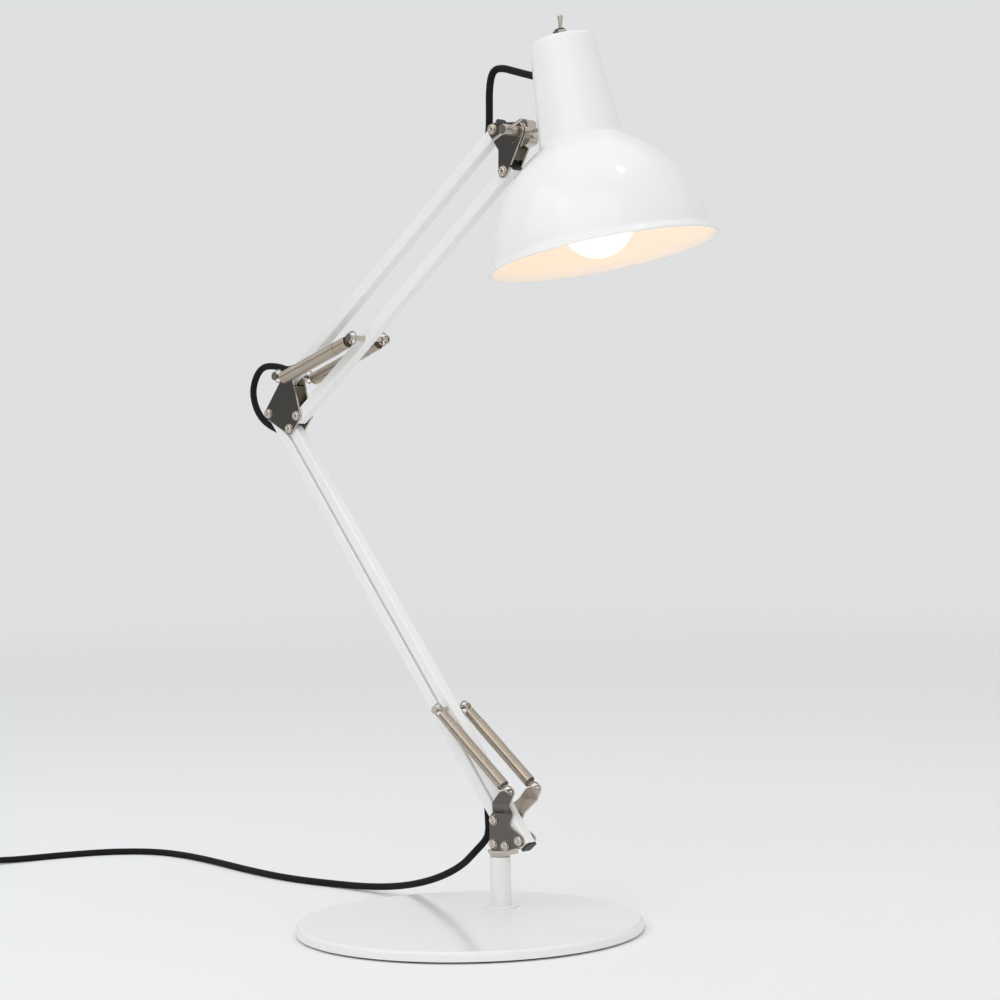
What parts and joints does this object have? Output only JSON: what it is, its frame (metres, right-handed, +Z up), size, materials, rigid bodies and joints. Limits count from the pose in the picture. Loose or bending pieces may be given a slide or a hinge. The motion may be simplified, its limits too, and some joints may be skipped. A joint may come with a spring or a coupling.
{
  "type": "spring arm table lamp",
  "caption": "Spring arm table lamp with a round weighted base, a swivelling parallelogram arm, tension springs and a tilting bell shade on a clamped head joint.",
  "frame": {"origin": "on the axis of the post, at the standing surface under the base", "axes": "+Z up, +X forward in the arm's plane towards the head, +Y along the arm's pivots"},
  "size_m": [0.7744, 0.335, 0.6309],
  "materials": {
    "white_paint": "gloss white enamel",
    "nickel": "polished nickel plate",
    "black_plastic": "black moulded plastic",
    "black_braid": "black braided sleeve",
    "pad": "soft pad",
    "rubber": "moulded rubber",
    "steel": "plain steel",
    "opal_glass": "opal white",
    "bulb_cap": "threaded cap"
  },
  "bodies": {
    "base": {"base_plate": "white_paint", "base_pad": "pad", "post": "white_paint", "post_collar": "white_paint", "base_screw": "steel", "mains_cord": "black_braid", "cord_coil": "black_braid", "coil_tie": "black_plastic", "plug_body": "black_plastic", "plug_pins": "nickel"},
    "swivel_bracket": {"swivel_block": "nickel", "bracket_plate_near": "nickel", "bracket_plate_far": "nickel", "block_rivets": "nickel", "base_pivot_pins": "nickel"},
    "lower_bar_front": {"lower_bar_front": "white_paint", "lower_bar_front_caps": "black_plastic"},
    "lower_bar_rear": {"lower_bar_rear": "white_paint", "lower_bar_rear_caps": "black_plastic", "cord_lower_run": "black_braid", "cord_foot_bend": "black_braid"},
    "lower_springs": {"lower_spring_near": "nickel", "lower_spring_far": "nickel"},
    "lower_spring_pin": {"lower_spring_pin": "nickel"},
    "elbow": {"elbow_plate_near": "nickel", "elbow_plate_far": "nickel", "elbow_pivot_pins": "nickel", "upper_spring_anchor": "nickel", "cord_elbow_loop": "black_braid"},
    "upper_bar_front": {"upper_bar_front": "white_paint", "upper_bar_front_caps": "black_plastic"},
    "upper_bar_rear": {"upper_bar_rear": "white_paint", "upper_bar_rear_caps": "black_plastic", "cord_upper_run": "black_braid"},
    "upper_springs": {"upper_spring_near": "nickel", "upper_spring_far": "nickel"},
    "upper_spring_pin": {"upper_spring_pin": "nickel"},
    "head_bracket": {"head_plate_near": "nickel", "head_plate_far": "nickel", "head_pivot_pins": "nickel", "tilt_bolt": "nickel", "cord_head_loop": "black_braid"},
    "tilt_clamp": {"clamp_barrel": "nickel", "tommy_bar": "nickel"},
    "head_block": {"tilt_block": "nickel", "stem": "nickel", "stem_nut": "nickel"},
    "shade": {"shade": "white_paint", "cord_grommet": "rubber", "holder_carrier": "steel", "lamp_holder": "black_plastic", "bulb_glass": "opal_glass", "bulb_cap": "bulb_cap", "switch_body": "black_plastic", "switch_nut": "nickel"},
    "switch_lever": {"switch_lever": "nickel"}
  },
  "joints": [
    {"name": "base_swivel", "type": "hinge", "parent": "base", "child": "swivel_bracket", "pos_m": [0, 0, 0.044], "axis": [0, 0, 1], "range_deg": [-90, 90]},
    {"name": "lower_arm", "type": "hinge", "parent": "swivel_bracket", "child": "lower_bar_rear", "pos_m": [0.0005, 0, 0.0705], "axis": [0, 1, 0], "range_deg": [-2, 65], "deforming": ["cord_foot_bend"]},
    {"name": "lower_front", "type": "hinge", "parent": "swivel_bracket", "child": "lower_bar_front", "pos_m": [0.0251, 0, 0.0579], "axis": [0, 1, 0], "range_deg": [-2, 65]},
    {"name": "elbow_level", "type": "hinge", "parent": "lower_bar_rear", "child": "elbow", "pos_m": [-0.24116, 0, 0.36892], "axis": [0, 1, 0], "range_deg": [-65, 2], "deforming": ["cord_elbow_loop"]},
    {"name": "lower_spring_swing", "type": "hinge", "parent": "swivel_bracket", "child": "lower_springs", "pos_m": [0.02308, 0, 0.09464], "axis": [0, 1, 0], "range_deg": [-4, 93], "deforming": ["lower_spring_near", "lower_spring_far"]},
    {"name": "lower_pin_turn", "type": "hinge", "parent": "lower_bar_front", "child": "lower_spring_pin", "pos_m": [-0.04727, 0, 0.14727], "axis": [0, 1, 0], "range_deg": [-4, 28]},
    {"name": "upper_arm", "type": "hinge", "parent": "elbow", "child": "upper_bar_rear", "pos_m": [-0.21746, 0, 0.39682], "axis": [0, 1, 0], "range_deg": [-25, 40]},
    {"name": "upper_front", "type": "hinge", "parent": "elbow", "child": "upper_bar_front", "pos_m": [-0.20776, 0, 0.36602], "axis": [0, 1, 0], "range_deg": [-25, 40]},
    {"name": "head_level", "type": "hinge", "parent": "upper_bar_rear", "child": "head_bracket", "pos_m": [0.01241, 0, 0.56018], "axis": [0, 1, 0], "range_deg": [-40, 25], "deforming": ["cord_head_loop"]},
    {"name": "upper_spring_swing", "type": "hinge", "parent": "elbow", "child": "upper_springs", "pos_m": [-0.21746, 0, 0.39682], "axis": [0, 1, 0], "range_deg": [-26, 42], "deforming": ["upper_spring_near", "upper_spring_far"]},
    {"name": "upper_pin_turn", "type": "hinge", "parent": "upper_bar_front", "child": "upper_spring_pin", "pos_m": [-0.13032, 0, 0.42106], "axis": [0, 1, 0], "range_deg": [-8, 8]},
    {"name": "head_tilt", "type": "hinge", "parent": "head_bracket", "child": "head_block", "pos_m": [0.03601, 0, 0.55598], "axis": [0, 1, 0], "range_deg": [-60, 8]},
    {"name": "clamp_turn", "type": "hinge", "parent": "head_bracket", "child": "tilt_clamp", "pos_m": [0.03601, -0.014, 0.55598], "axis": [0, 1, 0], "range_deg": [-60, 60]},
    {"name": "shade_roll", "type": "hinge", "parent": "head_block", "child": "shade", "pos_m": [0.08838, 0, 0.5598], "axis": [0.9869, 0, 0.1616], "range_deg": [-35, 35]},
    {"name": "switch_throw", "type": "hinge", "parent": "shade", "child": "switch_lever", "pos_m": [0.07884, -0.00464, 0.61804], "axis": [-0.0127, 0.9969, 0.0774], "range_deg": [-28, 0]}
  ],
  "couplings": [
    {"joint": "lower_front", "follows": "lower_arm", "ratio": 1},
    {"joint": "elbow_level", "follows": "lower_arm", "ratio": -1},
    {"joint": "lower_spring_swing", "follows": "lower_arm", "ratio": 1.4062},
    {"joint": "lower_pin_turn", "follows": "lower_arm", "ratio": 0.4062},
    {"joint": "upper_front", "follows": "upper_arm", "ratio": 1},
    {"joint": "head_level", "follows": "upper_arm", "ratio": -1},
    {"joint": "upper_spring_swing", "follows": "upper_arm", "ratio": 0.8936},
    {"joint": "upper_pin_turn", "follows": "upper_arm", "ratio": -0.1064}
  ]
}
